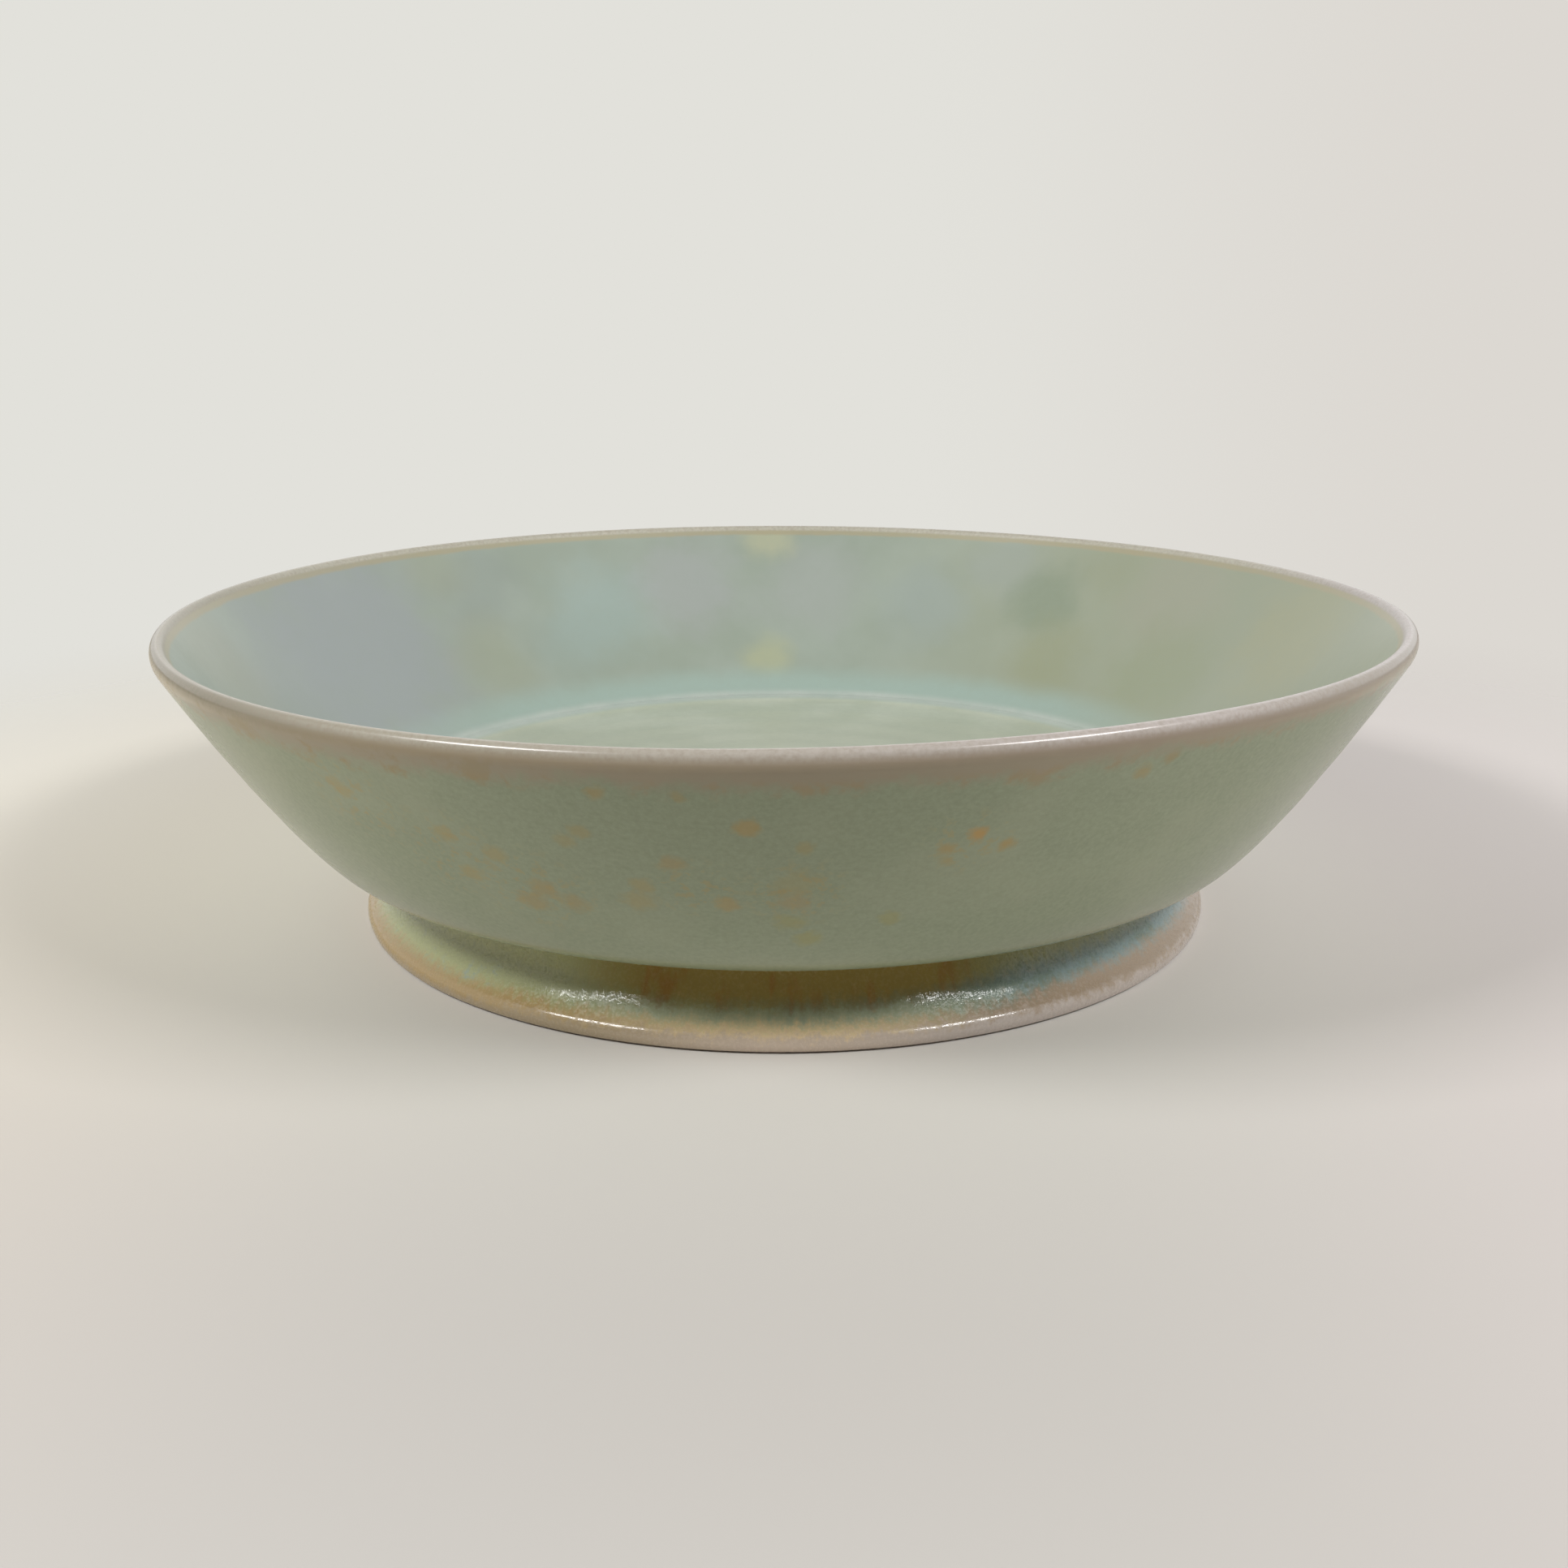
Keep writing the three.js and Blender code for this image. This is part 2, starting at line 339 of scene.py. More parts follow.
class Wire:
    def __init__(self, board, socket):
        self.board = board
        self.socket = socket

    def __add__(self, other):
        return self.board.sums("ADD", self, other)

    def __radd__(self, other):
        return self.board.sums("ADD", other, self)

    def __sub__(self, other):
        return self.board.sums("SUBTRACT", self, other)

    def __rsub__(self, other):
        return self.board.sums("SUBTRACT", other, self)

    def __mul__(self, other):
        return self.board.sums("MULTIPLY", self, other)

    def __rmul__(self, other):
        return self.board.sums("MULTIPLY", other, self)

    def __truediv__(self, other):
        return self.board.sums("DIVIDE", self, other)

    def __rtruediv__(self, other):
        return self.board.sums("DIVIDE", other, self)

    def __pow__(self, other):
        return self.board.sums("POWER", self, other)


# A colour written as #rrggbb, as the linear red, green, blue and alpha that a socket takes
def paint(colour):
    shown = np.array([int(colour[i:i + 2], 16) for i in (1, 3, 5)]) / 255
    linear = np.where(shown > 0.04045, ((shown + 0.055) / 1.055) ** 2.4, shown / 12.92)
    return (*linear.tolist(), 1.0)


class Board:
    def __init__(self, tree):
        self.tree = tree
        tree.nodes.clear()

    # Adds a node: its settings first, then its sockets' values or links. Gives back one output.
    def node(self, kind, settings, sockets, output=0):
        made = self.tree.nodes.new(kind)
        for name, value in settings.items():
            setattr(made, name, value)
        for name, value in sockets.items():
            if isinstance(value, Wire):
                self.tree.links.new(value.socket, made.inputs[name])
            else:
                made.inputs[name].default_value = value
        return Wire(self, made.outputs[output])

    # Joins a shader to the output node
    def surface(self, shader, kind="ShaderNodeOutputMaterial"):
        output = self.tree.nodes.new(kind)
        self.tree.links.new(shader.socket, output.inputs["Surface"])

    def sums(self, operation, *values):
        return self.node("ShaderNodeMath", {"operation": operation}, dict(enumerate(values)))

    def most(self, one, other):
        return self.sums("MAXIMUM", one, other)

    # 0 at the first value and 1 at the second, easing in and out between them
    def ease(self, value, start, end):
        sockets = {"Value": value, "From Min": start, "From Max": end}
        return self.node("ShaderNodeMapRange", {"interpolation_type": "SMOOTHSTEP"}, sockets)

    # One colour where the mask is 0 and the other where it is 1
    def blend(self, mask, one, other):
        one, other = (paint(c) if isinstance(c, str) else c for c in (one, other))
        return self.node("ShaderNodeMix", {"data_type": "RGBA"}, {0: mask, 6: one, 7: other}, 2)

    # A tone laid over a colour: none at the first value, and its full strength at the second
    def veil(self, colour, tone, value, start, end, strength=1.0):
        return self.blend(self.ease(value, start, end) * strength, colour, tone)

    # Three colours in a row, each turning into the next over its own span of the value
    def across(self, colours, value, spans):
        first, middle, last = colours
        colour = self.veil(first, middle, value, *spans[0])
        return self.veil(colour, last, value, *spans[1])

    # Noise from 0 to 1 about 0.5, whose blotches are about the given size in millimetres
    def noise(self, point, size, detail=2.0, roughness=0.5):
        sockets = {"Vector": point, "Scale": 1 / size, "Detail": detail, "Roughness": roughness}
        return self.node("ShaderNodeTexNoise", {}, sockets)

    # How far one point lies from another
    def away(self, point, centre):
        settings = {"operation": "DISTANCE"}
        return self.node("ShaderNodeVectorMath", settings, {0: point, 1: centre}, "Value")

    # The three parts of a vector
    def parts(self, vector):
        return [self.node("ShaderNodeSeparateXYZ", {}, {"Vector": vector}, part) for part in "XYZ"]


# A new material's board, with its point, radius and height on the piece in millimetres, and how
# far it lies to the right and to the front, each from -1 to 1
def clayBoard(name):
    material = bpy.data.materials.new(name)
    material.use_nodes = True
    board = Board(material.node_tree)
    board.material = material
    place = board.node("ShaderNodeTexCoord", {}, {}, "Object")
    scaled = {0: place, "Scale": 1 / mm}
    board.point = board.node("ShaderNodeVectorMath", {"operation": "SCALE"}, scaled)
    board.x, board.y, board.height = board.parts(board.point)
    board.radius = board.most((board.x * board.x + board.y * board.y) ** 0.5, 0.5)
    board.right = board.x / board.radius
    board.front = board.y / (board.radius * -1)
    return board


# The height that a place had before the rim warped, from the same sines as the waver: their sum
# is written with right for sin(turn) and front for cos(turn)
def thrownHeight(board):
    share = board.ease(board.height, hand["warpFoot"], bowl["height"])
    once, twice, thrice = hand["lifts"]
    sines = once + 3 * thrice + 2 * twice * board.front - 4 * thrice * board.right * board.right
    fall = board.most(1 - board.right * sines, 0.0)
    return board.height + hand["rimLowered"] * share * fall


# A place on an outline, given in degrees to the right of the front and millimetres of height. The
# outline is given as it climbs.
def placeOn(line, turn, height):
    radius = float(np.interp(height, line.imag, line.real))
    around = np.radians(turn)
    return (radius * float(np.sin(around)), -radius * float(np.cos(around)), height)


# Dapples a colour with patches that have soft, broken edges. Each patch is its place on the line
# as a turn and a height, its reach in millimetres, its strength and its colour. The edge is where
# a patch ends and where it is full, as shares of its reach.
def dappled(board, colour, patches, line, ragged, edge=(1.25, 0.3)):
    for turn, height, reach, strength, tone in patches:
        away = board.away(board.point, placeOn(line, turn, height)) + ragged * reach
        colour = board.veil(colour, tone, away, reach * edge[0], reach * edge[1], strength)
    return colour


# The unevenness of a fired surface: fine orange peel and slow swells, each given as its size and
# its height in millimetres
def glazeRelief(board, peel, swell):
    fine = board.noise(board.point, peel[0]) * peel[1]
    return fine + board.noise(board.point, swell[0], 1.0) * swell[1]


# Ends a material: the shader with its varying sockets and its constant ones
def fired(board, colour, roughness, relief, constants):
    normal = board.node("ShaderNodeBump", {}, {"Height": relief, "Distance": mm, "Strength": 1.0})
    sockets = {"Base Color": colour, "Roughness": roughness, "Normal": normal, **constants}
    board.surface(board.node("ShaderNodeBsdfPrincipled", {}, sockets))
    return board.material


# In every look, a name that ends in From or To holds the value at which something begins and the
# one at which it is full, and a third value is its strength. Lengths are in millimetres, and
# heights near the lip are those before the rim warped.

lipLook = {
    # The crest's paler right side is partly a painted reflection of the bright room on the lip's
    # top.
    "crest": ("#b0aa9a", "#c3bab5"),  # at the left and at the right
    "fold": ("#988a6d", "#978977"),
    "rightFrom": (-0.6, 0.6),
    "foldFrom": (40.1, 38.8),  # height
    # The end tone is painted shade: the lip darkened towards both sides, standing in for its duller
    # reflection there.
    "end": "#7f7861",  # outside, towards both sides
    "endFrom": (0.15, 0.6),
    "endFade": (0.9, 0.4),  # its strength at the left, and what that loses at the right
    "outsideFrom": (79.0, 79.5),  # radius
    "back": "#c6c1b2",
    "backFrom": (-0.05, -0.5),
    "inner": "#b3a88b",  # thin brown line just inside it
    "speck": 0.5,  # size of its mottling
    "mottleFrom": (0.3, 0.8, 0.45),
}


# The lip's colour, which both coats share where they meet: paler on its crest than in the fold,
# partly from thinner glaze and partly as painted shade on the fold
def lipColour(board, thrown):
    look = lipLook
    right = board.ease(board.right, *look["rightFrom"])
    crest = board.blend(right, *look["crest"])
    fold = board.blend(right, *look["fold"])
    colour = board.veil(crest, fold, thrown, *look["foldFrom"])
    full, loss = look["endFade"]
    outside = board.ease(board.radius, *look["outsideFrom"]) * (full - loss * right)
    # Painted shade: the outside of the lip darker towards both sides
    colour = board.veil(colour, look["end"], board.right * board.right, *look["endFrom"], outside)
    colour = board.veil(colour, look["back"], board.front, *look["backFrom"])
    mottle = board.noise(board.point, look["speck"], 3.0, 0.6)
    return board.veil(colour, look["fold"][1], mottle, *look["mottleFrom"])


wallLook = {
    "green": "#9aa487",
    "greenFrom": (0.1, 0.9),
    "deep": "#8c9679",
    "pale": "#a3a98d",
    "paleFrom": (0.45, 0.75, 0.4),
    "band": "#a1967e",  # under the lip, where the glaze has run thin
    "bandFrom": (35.4, 38.0),  # height
    "bandLeft": "#9a8a5e",
    "rust": "#a58b58",  # along the band's lower edge
    "rustTo": (38.2, 36.8),  # height at which it ends upwards
    "lipFrom": (37.9, 39.3),
    # Darker under the keel: partly the rust of thin glaze there, partly painted shade where the
    # bowl's underside is shaded.
    "recess": "#7d7038",  # under the keel
    "recessFrom": (11.2, 10.5),
    "ochre": "#aa9458",  # iron spots and speckle
    "speckle": 0.42,
    "speckleFrom": (0.52, 0.64),
    "strewn": 0.4,
    "strewnFrom": (0.63, 0.7),
    "unseenFrom": (0.7, 0.45),  # how far round to the front
    "sizes": {"grain": 0.55, "cloud": 13.0, "ragged": 1.6, "wander": 7.0, "iron": 1.1, "spot": 3.4},
    "roughness": (0.17, 0.08),  # the least, and what the grain adds
    "peel": (0.5, 0.0025),
    "swell": (5.0, 0.05),
    "spots": [  # turn, height, reach, strength and colour
        (-12.5, 35.3, 1.1, 0.55, "#a98f52"), (-7.0, 35.3, 0.9, 0.5, "#a98f52"),
        (-2.5, 31.7, 1.3, 0.6, "#b0924e"), (-1.5, 37.2, 0.9, 0.5, "#a98450"),
        (-16.0, 29.2, 1.2, 0.4, "#a9975c"), (-26.5, 28.4, 1.4, 0.5, "#a9975c"),
        (1.5, 29.2, 1.0, 0.45, "#a9975c"), (12.0, 28.4, 1.1, 0.6, "#b0924e"),
        (14.0, 30.0, 1.2, 0.8, "#ba9146"), (16.5, 28.4, 1.1, 0.7, "#b0924e"),
        (-11.5, 22.0, 1.9, 0.45, "#a9975c"), (-4.5, 22.0, 1.3, 0.5, "#b0924e"),
        (1.0, 24.7, 2.6, 0.35, "#a69a62"), (2.0, 17.0, 1.5, 0.5, "#a09a55"),
        (18.0, 37.2, 0.9, 0.5, "#a98f52"), (25.5, 35.3, 1.0, 0.5, "#a98f52"),
        (-30.0, 38.2, 1.6, 0.8, "#a07d45"), (-35.0, 32.0, 1.6, 0.5, "#a9975c"),
        (-34.5, 37.5, 1.4, 0.6, "#a4874f"), (-26.0, 23.3, 1.4, 0.5, "#a9975c"),
        (-22.5, 26.5, 1.4, 0.5, "#a9975c"), (-19.8, 22.5, 1.7, 0.55, "#a58f56"),
        (-21.3, 20.3, 1.9, 0.55, "#a58f56"), (-17.5, 20.8, 1.7, 0.5, "#a58f56"),
        (-14.5, 30.6, 1.2, 0.45, "#a9975c"), (-8.3, 27.0, 1.4, 0.5, "#a9915a"),
        (-11.0, 24.0, 1.4, 0.45, "#a9975c"), (0.9, 22.5, 2.0, 0.4, "#a9905c"),
        (0.4, 19.4, 1.8, 0.45, "#a09a55"), (8.8, 19.5, 1.4, 0.45, "#a09a55"),
        (12.0, 27.0, 1.0, 0.45, "#a9975c"), (27.5, 36.6, 1.1, 0.5, "#a4874f"),
    ],
    "clouds": [  # clouds of fine iron speckle: turn, height and reach
        (-20.5, 22.0, 9.0), (-27.0, 25.5, 9.0), (-34.0, 31.0, 8.0),
        (-7.0, 24.0, 6.0), (13.5, 29.0, 6.0), (1.0, 23.5, 7.0),
    ],
}


# How strongly iron speckles a place: grains of noise, let through inside the clouds
def speckle(board, line):
    look = wallLook
    inside = 0.0
    for turn, height, reach in look["clouds"]:
        away = board.away(board.point, placeOn(line, turn, height))
        inside = board.most(inside, board.ease(away, reach, reach * 0.2))
    grit = board.noise(board.point, look["sizes"]["iron"], 3.0, 0.6)
    return inside * board.ease(grit, *look["speckleFrom"])


# The thin band under the lip, narrower towards both sides and rusty along its lower edge, and the
# lip's own colour above it
def lipBand(board, colour, thrown, ragged, wander):
    look = wallLook
    patchy = ragged + wander
    ends = board.ease(board.right * board.right, 0.4, 0.95)
    narrower = ends * 1.4 + board.ease(board.right, 0.2, 0.6) * 0.8
    fall = thrown + ragged * 2.6 + wander * 3.2 - narrower
    band = board.ease(fall, *look["bandFrom"])
    rim = band * board.ease(fall, *look["rustTo"])
    runny = board.ease(board.right, -0.1, -0.5) * 0.6
    tone = board.veil(look["band"], look["bandLeft"], patchy, -0.05, 0.2, runny)
    colour = board.blend(band, colour, tone)
    colour = board.veil(colour, look["rust"], patchy, 0.0, 0.25, rim * 0.6)
    top = thrown + ragged * 0.5 - ends * 1.3
    return board.veil(colour, lipColour(board, thrown), top, *look["lipFrom"])


def wallGlaze():
    board = clayBoard("wall_glaze")
    look = wallLook
    sizes = look["sizes"]
    line = outsideLine(layers["fine"])
    grain = board.noise(board.point, sizes["grain"], 3.0, 0.6)
    cloud = board.noise(board.point, sizes["cloud"], 3.0)
    ragged = board.noise(board.point, sizes["ragged"], 4.0, 0.6) - 0.5
    wander = board.noise(board.point, sizes["wander"]) - 0.5
    colour = board.veil(look["deep"], look["green"], grain, *look["greenFrom"])
    colour = board.veil(colour, look["pale"], cloud, *look["paleFrom"])
    colour = dappled(board, colour, look["spots"], line, ragged * 1.8)
    colour = board.blend(speckle(board, line) * look["speckle"], colour, look["ochre"])
    # Strewn spots on the sides and the back, which the photograph doesn't show
    spot = board.noise(board.point, sizes["spot"], 3.0, 0.6)
    unseen = board.ease(board.front, *look["unseenFrom"]) * look["strewn"]
    colour = board.veil(colour, look["ochre"], spot, *look["strewnFrom"], unseen)
    colour = lipBand(board, colour, thrownHeight(board), ragged, wander)
    # Under the keel the glaze is darkened, partly as painted shade
    low = board.height + ragged * 0.3
    colour = board.veil(colour, look["recess"], low, *look["recessFrom"])
    relief = glazeRelief(board, look["peel"], look["swell"])
    least, added = look["roughness"]
    return fired(board, colour, least + added * grain, relief, {"IOR": 1.5})


poolLook = {
    "green": "#a7b1a5",
    "greenFrom": (0.35, 0.68),
    "deep": "#9fa99b",
    "deepFrom": (0.3, 0.75, 0.12),
    "right": "#a4a88e",
    "rightFrom": (0.1, 0.8, 0.7),
    "teal": "#a7bab0",  # pooled in the cove
    "tealFrom": (18.6, 15.2),  # height
    "ring": "#c9cec6",  # thin over the ring
    "ringFrom": (58.2, 56.8),  # radius, from outside
    "ringTo": (54.6, 56.0),  # radius, from inside
    "floor": "#c8cebc",
    "floorFrom": (55.9, 54.4),
    "floorDeep": "#bdc4b0",
    "floorNear": "#b0b4a1",
    "nearFrom": (50.0, 20.0, 0.7),  # distance behind the axis
    "innerFrom": (38.7, 39.2, 0.8),  # height
    "lipFrom": (39.5, 39.9),
    "sizes": {"cloud": 15.0, "fine": 1.3, "soft": 6.0},
    "roughness": (0.28, 0.08),
    "peel": (0.6, 0.003),
    "swell": (6.0, 0.05),
    "patches": [  # turn, height, reach, strength and colour
        # Some patches are painted light: the pale yellow pair at -178 and -177.5 are painted
        # reflections of a warm light, the pale teal pair at -153.5 and -146.5 painted reflections of
        # the left softbox, and the dark ones at -142, -137 and 142 painted shade. The rest are
        # clouding in the glaze.
        (-113.0, 29.0, 24.0, 0.85, "#a2a8a9"), (-100.0, 24.0, 24.0, 0.55, "#9fa7a6"),
        (-137.0, 33.7, 9.0, 0.5, "#98a19a"), (-134.0, 22.3, 9.0, 0.45, "#a5a991"),
        (-131.0, 37.0, 7.0, 0.4, "#a3a78f"), (-142.0, 24.0, 6.0, 0.4, "#9aa498"),
        (-153.5, 27.7, 11.0, 0.7, "#a3b4ae"), (-146.5, 22.5, 7.0, 0.5, "#a2b1a9"),
        (-166.5, 31.0, 11.0, 0.7, "#acb0ae"), (176.0, 29.7, 10.0, 0.6, "#abb0ab"),
        (-178.0, 38.0, 5.0, 0.75, "#bcbd9f"), (-177.5, 19.2, 5.0, 0.7, "#b6b996"),
        (159.5, 27.5, 9.0, 0.6, "#a2ada8"), (149.0, 35.0, 8.0, 0.5, "#a5ada6"),
        (142.0, 30.0, 8.0, 0.8, "#919c87"), (138.0, 21.5, 8.0, 0.7, "#a0a487"),
        (133.0, 36.3, 7.0, 0.6, "#a0a58c"), (122.5, 33.2, 12.0, 0.6, "#a9a997"),
        (118.0, 23.0, 11.0, 0.6, "#9ca386"), (98.5, 33.0, 14.0, 0.7, "#a9aa8b"),
        (-84.0, 34.0, 12.0, 0.5, "#a7ab9a"),
    ],
}


def poolGlaze():
    board = clayBoard("pool_glaze")
    look = poolLook
    sizes = look["sizes"]
    line = insideLine(layers["fine"])[::-1]
    thrown = thrownHeight(board)
    cloud = board.noise(board.point, sizes["cloud"], 3.0)
    fine = board.noise(board.point, sizes["fine"], 3.0, 0.6)
    soft = board.noise(board.point, sizes["soft"], 3.0, 0.55) - 0.5
    colour = board.veil(look["deep"], look["green"], cloud, *look["greenFrom"])
    colour = board.veil(colour, look["right"], board.right, *look["rightFrom"])
    colour = dappled(board, colour, look["patches"], line, soft)
    pooled = 0.45 + 0.5 * board.ease(board.front, -0.35, -0.75)
    colour = board.veil(colour, look["teal"], board.height + soft * 1.6, *look["tealFrom"], pooled)
    floor = board.veil(look["floorDeep"], look["floor"], cloud, 0.4, 0.65)
    floor = board.veil(floor, look["floorNear"], board.y, *look["nearFrom"])
    colour = board.veil(colour, floor, board.radius, *look["floorFrom"])
    ring = board.ease(board.radius, *look["ringTo"]) * (0.6 + soft)
    colour = board.veil(colour, look["ring"], board.radius, *look["ringFrom"], ring)
    colour = board.veil(colour, lipLook["inner"], thrown + soft * 0.5, *look["innerFrom"])
    colour = board.veil(colour, lipColour(board, thrown), thrown, *look["lipFrom"])
    colour = board.veil(colour, look["deep"], fine, *look["deepFrom"])
    relief = glazeRelief(board, look["peel"], look["swell"])
    least, added = look["roughness"]
    return fired(board, colour, least + added * fine, relief, {"IOR": 1.5})


footLook = {
    "olive": "#9ea274",
    "teal": "#6d8172",
    "tealFrom": (-0.4, 0.25),  # how far round to the right
    "blue": "#839899",
    "blueFrom": (-0.05, 0.35, 0.8),
    # Painted light: a lighter tone low on the flare at the front, standing in for light that reaches
    # it there.
    "pale": "#b4bfa2",  # low on the flare at the front
    "paleFrom": (5.0, 3.6),  # height
    "middleFrom": (0.86, 0.985),  # how far round to the front
    # The neck's brown is partly thin glaze with rust and partly painted light and shade: at the
    # front it reaches lower down the flare as a painted dark reflection, and the left colour is
    # lightened against the bowl's shadow.
    "neck": ("#b2b57c", "#a08e50", "#8f9058"),  # at the left, in front and at the right
    "neckSpans": ((-0.5, -0.25), (0.28, 0.5)),
    "neckFrom": (4.6, 7.2),
    "rust": "#a0763c",
    "rustFrom": (0.0, 0.3, 0.7),
    # The orange band is the iron colour of the thin glaze. Its bright middle colour is partly
    # painted light, lightened against the bowl's shadow at the front.
    "orange": ("#a68e62", "#e6cea0", "#988671"),
    "orangeSpans": ((-0.5, -0.05), (0.05, 0.45)),
    "orangeFrom": (3.8, 2.0),
    "edge": ("#a29277", "#c8b7a5", "#b3a89f"),
    "edgeSpans": ((-0.45, 0.0), (0.0, 0.4)),
    "edgeFrom": (2.7, 1.4),
    "gritFrom": (0.05, 0.3, 0.35),
    "sizes": {"streak": 1.1, "grit": 0.8, "cloud": 5.0, "pit": 0.35, "ripple": 0.6},
    "streakRound": 55,  # how fast the streaks change round the foot, and down it
    "streakDown": 0.25,
    "roughness": (0.1, 0.35),  # the least, and what the pits add
    "pitFrom": (0.48, 0.6),
    "rippleHeight": 0.02,
}


def footGlaze():
    board = clayBoard("foot_glaze")
    look = footLook
    sizes = look["sizes"]
    # Streaks: noise mostly on the direction round the foot, so that it runs down the flare
    way = {
        "X": board.right * look["streakRound"],
        "Y": board.front * look["streakRound"],
        "Z": board.height * look["streakDown"],
    }
    around = board.node("ShaderNodeCombineXYZ", {}, way)
    streak = board.noise(around, sizes["streak"], 3.0, 0.6) - 0.5
    grit = board.noise(board.point, sizes["grit"], 4.0, 0.7) - 0.5
    cloud = board.noise(board.point, sizes["cloud"], 3.0) - 0.5
    # The front, where the foot is painted lighter low down and darker higher up
    middle = board.ease(board.front, *look["middleFrom"])
    farLeft = board.ease(board.right, -0.3, -0.7)
    farRight = board.ease(board.right, 0.3, 0.7)
    side = board.right + cloud * 0.8 + streak * 0.6
    colour = board.veil(look["olive"], look["teal"], side, *look["tealFrom"])
    blueness = cloud * 1.2 + grit * 1.2 + board.right * 0.3
    colour = board.veil(colour, look["blue"], blueness, *look["blueFrom"])
    fall = board.height + streak * 1.3 + grit * 2.2 + cloud
    # Painted light low on the flare at the front
    colour = board.veil(colour, look["pale"], fall, *look["paleFrom"], middle * 0.7)
    left, front, right = look["neck"]
    brown = board.veil(front, look["rust"], cloud + streak, *look["rustFrom"])
    brown = board.across((left, brown, right), board.right, look["neckSpans"])
    # Painted dark reflection: in the middle the brown reaches lower
    colour = board.veil(colour, brown, fall + middle * 1.4, *look["neckFrom"])
    # The orange band, its front lightened as painted light
    orange = board.across(look["orange"], board.right, look["orangeSpans"])
    colour = board.veil(colour, orange, fall - farRight * 0.8, *look["orangeFrom"])
    edge = board.across(look["edge"], board.right, look["edgeSpans"])
    low = fall + farLeft * 0.9 + farRight * 0.4
    colour = board.veil(colour, edge, low, *look["edgeFrom"])
    colour = board.veil(colour, orange, grit, *look["gritFrom"])
    ripple = board.noise(board.point, sizes["ripple"], 3.0, 0.6) * look["rippleHeight"]
    pits = board.ease(board.noise(board.point, sizes["pit"], 3.0, 0.6), *look["pitFrom"])
    least, added = look["roughness"]
    return fired(board, colour, least + added * pits, ripple, {"IOR": 1.46})


baseLook = {
    "green": "#97a28c",
    "greenFrom": (0.35, 0.65),
    "deep": "#838c74",
    "rust": "#a57b4c",  # specks, and the thin lower edge
    "speckFrom": (0.6, 0.8, 0.3),
    "thinFrom": (4.2, 2.6),  # height
    "sizes": {"cloud": 9.0, "speck": 0.9},
    "peel": (0.6, 0.006),
    "swell": (7.0, 0.06),
}


def baseGlaze():
    board = clayBoard("base_glaze")
    look = baseLook
    cloud = board.noise(board.point, look["sizes"]["cloud"], 4.0, 0.55)
    speck = board.noise(board.point, look["sizes"]["speck"], 3.0, 0.6)
    colour = board.veil(look["deep"], look["green"], cloud, *look["greenFrom"])
    colour = board.veil(colour, look["rust"], speck, *look["speckFrom"])
    colour = board.veil(colour, look["rust"], board.height + cloud * 2, *look["thinFrom"])
    relief = glazeRelief(board, look["peel"], look["swell"])
    return fired(board, colour, 0.28, relief, {"IOR": 1.5})


clayLook = {
    "clay": "#b9ab98",
    "slip": "#c6b9a6",
    "iron": "#a1805c",
    "ironFrom": (0.45, 0.7, 0.6),
    "pit": "#7d6a55",
    "pitFrom": (0.6, 0.75, 0.5),
    "sizes": {"grain": 0.35, "warm": 5.0},
    "grainHeight": 0.02,
}


def bareClay(name, body):
    board = clayBoard(name)
    look = clayLook
    grain = board.noise(board.point, look["sizes"]["grain"], 4.0, 0.7)
    warm = board.noise(board.point, look["sizes"]["warm"])
    colour = board.veil(look[body], look["iron"], warm, *look["ironFrom"])
    colour = board.veil(colour, look["pit"], grain, *look["pitFrom"])
    return fired(board, colour, 0.85, grain * look["grainHeight"], {})


print("glazes mixed")


# Pieces. Where two coats meet, the back of each is set in as if its line ran on into the other's.
def makePieces():
    fine = layers["fine"]
    line = outsideLine(1)
    inner = insideLine(1)
    flare = flareLine(1)
    clayFlare = insetLine(flareLine(3), coatDepth)
    clayBase = insetLine(baseLine(3), coatDepth)
    footInside = insideRadius + coatDepth
    slipTop = foot["height"] + coatDepth
    jointHeight = slipTop - layers["slip"]
    clayNeck = neckRadius - coatDepth
    slipEdge = clayNeck + layers["slipBead"] + 1j * slipTop
    joint = [footInside + 1j * jointHeight, clayNeck + 1j * jointHeight]
    footBottom = arcLine(edgeCentre, foot["edgeRadius"] - coatDepth, -90, -foot["edgeStop"], 12)
    footRing = np.concatenate([
        [padInner + 0j],
        footBottom[:-1],
        clayFlare[clayFlare.imag < jointHeight],
        joint[::-1],
        clayBase[(clayBase.imag < jointHeight) & (clayBase.real > insideRadius)],
    ])
    bowlUnder = insetLine(np.concatenate([line[:-1], inner]), coatDepth, flare[-2])
    outlines = {
        "exterior_glaze": (coatLine(outsideLine(fine), line, flare[-2], inner[1]), waved),
        "interior_glaze": (coatLine(insideLine(fine), inner, line[-2]), ringed),
        "foot_glaze": (coatLine(flareLine(fine), flare, after=line[1], rolled="start"), None),
        "base_glaze": (coatLine(baseLine(fine), baseLine(1), rolled="end"), None),
        "foot_ring": (footRing, None),
        "luting_slip": (np.array([*joint, slipEdge, footInside + 1j * slipTop]), None),
        "bowl_body": (np.concatenate([[1j * slipTop, slipEdge], bowlUnder[1:]]), None),
    }
    return {name: turned(name, *parts) for name, parts in outlines.items()}


pieces = makePieces()
print("pieces turned")

